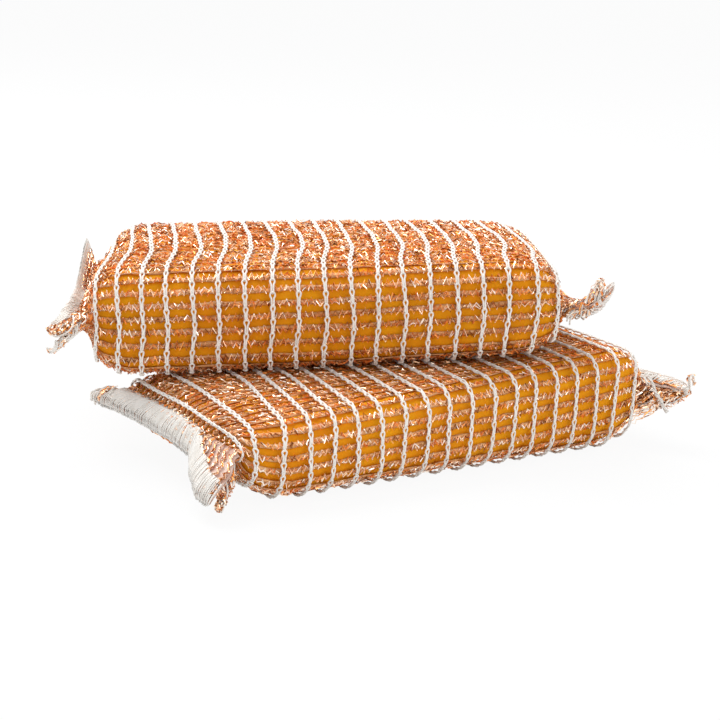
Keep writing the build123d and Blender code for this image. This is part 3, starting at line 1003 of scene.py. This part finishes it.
# Yarn ends at the flaps' corners: each is a path from the hinge line (out, across and up in mm), the
# bundle's radii at its root and its tip in mm, its white yarns, its tinsel strands and its turns
TAILS = {
    ("upper", -1): [
        (
            [(-1.0, -26.5, -0.3), (1.5, -31.0, -0.8), (3.8, -34.8, -0.6), (5.4, -37.0, 0.5)],
            2.3, 0.9, 4, 16, 1.0,
        ),
        (
            [(0.0, -29.5, -1.2), (2.0, -32.5, -2.6), (4.0, -35.0, -4.2), (5.6, -36.5, -4.5)],
            1.4, 0.9, 9, 3, 1.4,
        ),
        (
            [(0.6, -29.0, -0.8), (2.0, -31.4, -2.6), (3.0, -33.0, -4.9)],
            1.1, 0.9, 8, 2, 1.0,
        ),
    ],
    ("upper", 1): [
        (
            [(-1.4, -26.0, -1.4), (2.6, -30.0, 0.2), (5.2, -33.6, 3.9), (6.6, -36.0, 8.8)],
            3.0, 0.8, 12, 18, 0.9,
        ),
        (
            [(0.2, -28.0, -1.8), (3.4, -31.5, 0.2), (5.8, -34.2, 3.4), (7.4, -36.0, 6.6)],
            1.6, 0.7, 10, 5, 1.3,
        ),
    ],
    ("lower", -1): [
        (
            [(0.8, 31.0, 0.0), (2.4, 33.4, -0.6), (3.8, 35.4, -1.6), (4.4, 36.8, -3.2)],
            1.6, 1.2, 14, 3, 0.8,
        ),
        (
            [(0.6, -27.0, -2.0), (2.4, -29.5, -5.5), (4.4, -31.5, -8.4), (6.0, -33.0, -10.6)],
            2.2, 1.0, 3, 14, 0.7,
        ),
    ],
    ("lower", 1): [
        (
            [(-6.0, -24.0, -7.0), (3.0, -28.5, -4.0), (5.8, -32.5, -2.8), (8.2, -36.4, -1.1)],
            5.6, 0.7, 4, 90, 0.3,
        ),
        (
            [(0.0, -26.5, 1.2), (3.0, -30.5, 1.0), (5.4, -33.8, -0.2), (7.4, -36.4, -1.0)],
            1.1, 0.8, 18, 3, 3.0,
        ),
        (
            [(-0.6, -30.0, 2.4), (-0.4, -33.6, -1.9), (3.6, -33.4, -6.8)],
            0.4, 0.4, 6, 0, 2.0,
        ),
        (
            [(8.0, -36.4, -1.0), (7.6, -36.4, 3.0), (8.6, -36.6, 3.2), (9.0, -36.8, 0.4)],
            0.3, 0.3, 2, 1, 0.8,
        ),
    ],
}
TAIL_POINTS = 30

# How often a path is smoothed, a direction that no path follows, the least share of a bundle's radius
# at which a strand lies, its stray, the yarn's radius, and the tinsel's width, thickness and crinkle
SMOOTHINGS = 6
TAIL_SIDE = (0.3, 0.2, 1.0)
LEAST_SPREAD = 0.35
TAIL_STRAY = 0.2
TAIL_RADIUS = 0.22 * MM
TAIL_TINSEL = (0.5 * MM, 0.14 * MM)
TAIL_CRINKLE = 0.28


def tails(pad, side, word):
    """Bundles of yarn ends at a flap's corners."""
    for number, (knots, root, tip, white, metal, twist) in enumerate(TAILS[(pad.name, side)]):
        knots = np.array(knots) * MM
        share = np.linspace(0, len(knots) - 1, TAIL_POINTS)
        path = np.stack([np.interp(share, np.arange(len(knots)), knots[:, k]) for k in range(3)], axis=-1)
        for _ in range(SMOOTHINGS):
            path[1:-1] = (path[:-2] + 2 * path[1:-1] + path[2:]) / 4
        local = path * (side, 1, 1) + (side * HINGE_X, 0, pad.middle(side * HINGE_X, side))
        along = unit(np.gradient(local, axis=0))
        wide = unit(np.cross(along, TAIL_SIDE))
        high = np.cross(wide, along)
        for kind, strands in (("white", white), ("tinsel", metal)):
            if strands == 0:
                continue
            phase = rng.uniform(0, 2 * math.pi, (strands, 1))
            angle = phase + np.linspace(0, twist * 2 * math.pi, TAIL_POINTS)[None]
            shares = rng.uniform(LEAST_SPREAD, 1.0, (strands, 1))
            spread = np.linspace(root, tip, TAIL_POINTS)[None] * MM * shares
            spread = spread * (1 + wander(strands, TAIL_POINTS, 4, TAIL_STRAY))
            offset = np.cos(angle)[..., None] * wide[None] + np.sin(angle)[..., None] * high[None]
            points = local[None] + offset * spread[..., None]
            if kind == "white":
                profile = round_profile(TAIL_RADIUS, YARN_SIDES)
            else:
                profile = blade_profile(*TAIL_TINSEL)
                points[:, 1:-1] += rng.normal(0, TAIL_CRINKLE, (strands, TAIL_POINTS - 2, 3)) * MM
            obj = tubes(
                f"{pad.name}_{word}_tail_{number + 1}_{kind}",
                pad.to_world(points),
                pad.turn(offset),
                profile,
                smooth=kind == "white",
            )
            if kind == "white":
                paint(obj, [WHITE_YARN])
            else:
                paint(obj, TINSEL, TINSEL_SHARES, run=COLOUR_RUN)
            bend_with(obj, pad, side)


def build_pad(name):
    pad = Pad(name)
    foam_core(pad)
    body_rows(pad)
    chains(pad)
    for side, word in ((-1, "left"), (1, "right")):
        end_rows(pad, side, word)
        flap_cloth(pad, side, word)
        overlock(pad, side, word)
        tails(pad, side, word)


# Studio and camera


SEEN_RAYS = ("Is Camera Ray", "Is Glossy Ray", "Is Transmission Ray")
WORLD_LIGHT = 0.7
WORLD_COLOUR = (0.97, 0.98, 1.0, 1)
SHADOW_SHARE = 0.07
FLOOR_COLOUR = (0.8, 0.8, 0.8, 1)
FLOOR_HALF = 3.0
FLOOR_DROP = 0.3 * MM
CLIP_START = 0.01

# The lamps: name, place, size and power; both point at the pads
LAMP_AIM = (0, 0, 0.02)
LAMPS = (
    ("key", (-0.1, 0.5, 0.85), 0.7, 9.5),
    ("front", (0.3, -0.85, 0.5), 0.6, 2.6),
)


def seen_rays(nodes, links):
    """One for the rays that show a surface to the eye, itself or in a reflection."""
    ray = nodes.new("ShaderNodeLightPath")
    total = ray.outputs[SEEN_RAYS[0]]
    for name in SEEN_RAYS[1:]:
        larger = nodes.new("ShaderNodeMath")
        larger.operation = "MAXIMUM"
        links.new(total, larger.inputs[0])
        links.new(ray.outputs[name], larger.inputs[1])
        total = larger.outputs[0]
    return total


def backdrop_material():
    """White to the camera and in reflections, with a trace of the pads' shadow."""
    material = bpy.data.materials.new("backdrop")
    material.use_nodes = True
    nodes = material.node_tree.nodes
    links = material.node_tree.links
    nodes.clear()
    output = nodes.new("ShaderNodeOutputMaterial")
    glow = nodes.new("ShaderNodeEmission")
    glow.inputs["Strength"].default_value = 1.0
    matt = nodes.new("ShaderNodeBsdfDiffuse")
    matt.inputs["Color"].default_value = FLOOR_COLOUR
    seen = nodes.new("ShaderNodeMixShader")
    seen.inputs[0].default_value = SHADOW_SHARE
    mix = nodes.new("ShaderNodeMixShader")
    links.new(glow.outputs[0], seen.inputs[1])
    links.new(matt.outputs[0], seen.inputs[2])
    links.new(seen_rays(nodes, links), mix.inputs[0])
    links.new(matt.outputs[0], mix.inputs[1])
    links.new(seen.outputs[0], mix.inputs[2])
    links.new(mix.outputs[0], output.inputs["Surface"])
    return material


def studio():
    world = bpy.data.worlds.new("studio")
    bpy.context.scene.world = world
    world.use_nodes = True
    nodes = world.node_tree.nodes
    links = world.node_tree.links
    nodes.clear()
    output = nodes.new("ShaderNodeOutputWorld")
    shown = nodes.new("ShaderNodeBackground")
    shown.inputs["Color"].default_value = (1, 1, 1, 1)
    shown.inputs["Strength"].default_value = 1.0
    lit = nodes.new("ShaderNodeBackground")
    lit.inputs["Color"].default_value = WORLD_COLOUR
    lit.inputs["Strength"].default_value = WORLD_LIGHT
    mix = nodes.new("ShaderNodeMixShader")
    links.new(seen_rays(nodes, links), mix.inputs[0])
    links.new(lit.outputs[0], mix.inputs[1])
    links.new(shown.outputs[0], mix.inputs[2])
    links.new(mix.outputs[0], output.inputs["Surface"])
    corners = np.array(((-1, -1, 0), (1, -1, 0), (1, 1, 0), (-1, 1, 0))) * FLOOR_HALF
    floor = new_object("floor", corners - (0, 0, FLOOR_DROP), np.array(((0, 1, 2, 3),)))
    floor.data.materials.append(backdrop_material())


def softbox(name, place, size, energy):
    lamp = bpy.data.lights.new(name, "AREA")
    lamp.shape = "SQUARE"
    lamp.size = size
    lamp.energy = energy
    obj = bpy.data.objects.new(name, lamp)
    obj.location = place
    obj.rotation_euler = (Vector(LAMP_AIM) - Vector(place)).to_track_quat("-Z", "Y").to_euler()
    bpy.context.scene.collection.objects.link(obj)


def camera():
    away = np.array((-math.sin(CAMERA_TURN), -math.cos(CAMERA_TURN), 0))
    back = away * math.cos(CAMERA_RISE) + np.array((0, 0, math.sin(CAMERA_RISE)))
    right = np.array((math.cos(CAMERA_TURN), -math.sin(CAMERA_TURN), 0))
    up = np.cross(back, right)
    rolled_right = math.cos(CAMERA_ROLL) * right + math.sin(CAMERA_ROLL) * up
    rolled_up = math.cos(CAMERA_ROLL) * up - math.sin(CAMERA_ROLL) * right
    eye = bpy.data.cameras.new("camera")
    eye.sensor_width = SENSOR_MM
    eye.lens = SENSOR_MM * FOCAL_PX / IMAGE_PX
    eye.clip_start = CLIP_START
    obj = bpy.data.objects.new("camera", eye)
    place = CAMERA_TARGET + back * CAMERA_DISTANCE
    columns = np.stack((rolled_right, rolled_up, back, place), axis=1)
    obj.matrix_world = Matrix([*columns.tolist(), [0, 0, 0, 1]])
    bpy.context.scene.collection.objects.link(obj)
    bpy.context.scene.camera = obj


bpy.context.scene.view_settings.view_transform = "Standard"
camera()
studio()
for lamp_values in LAMPS:
    softbox(*lamp_values)
for pad_name in ("lower", "upper"):
    build_pad(pad_name)
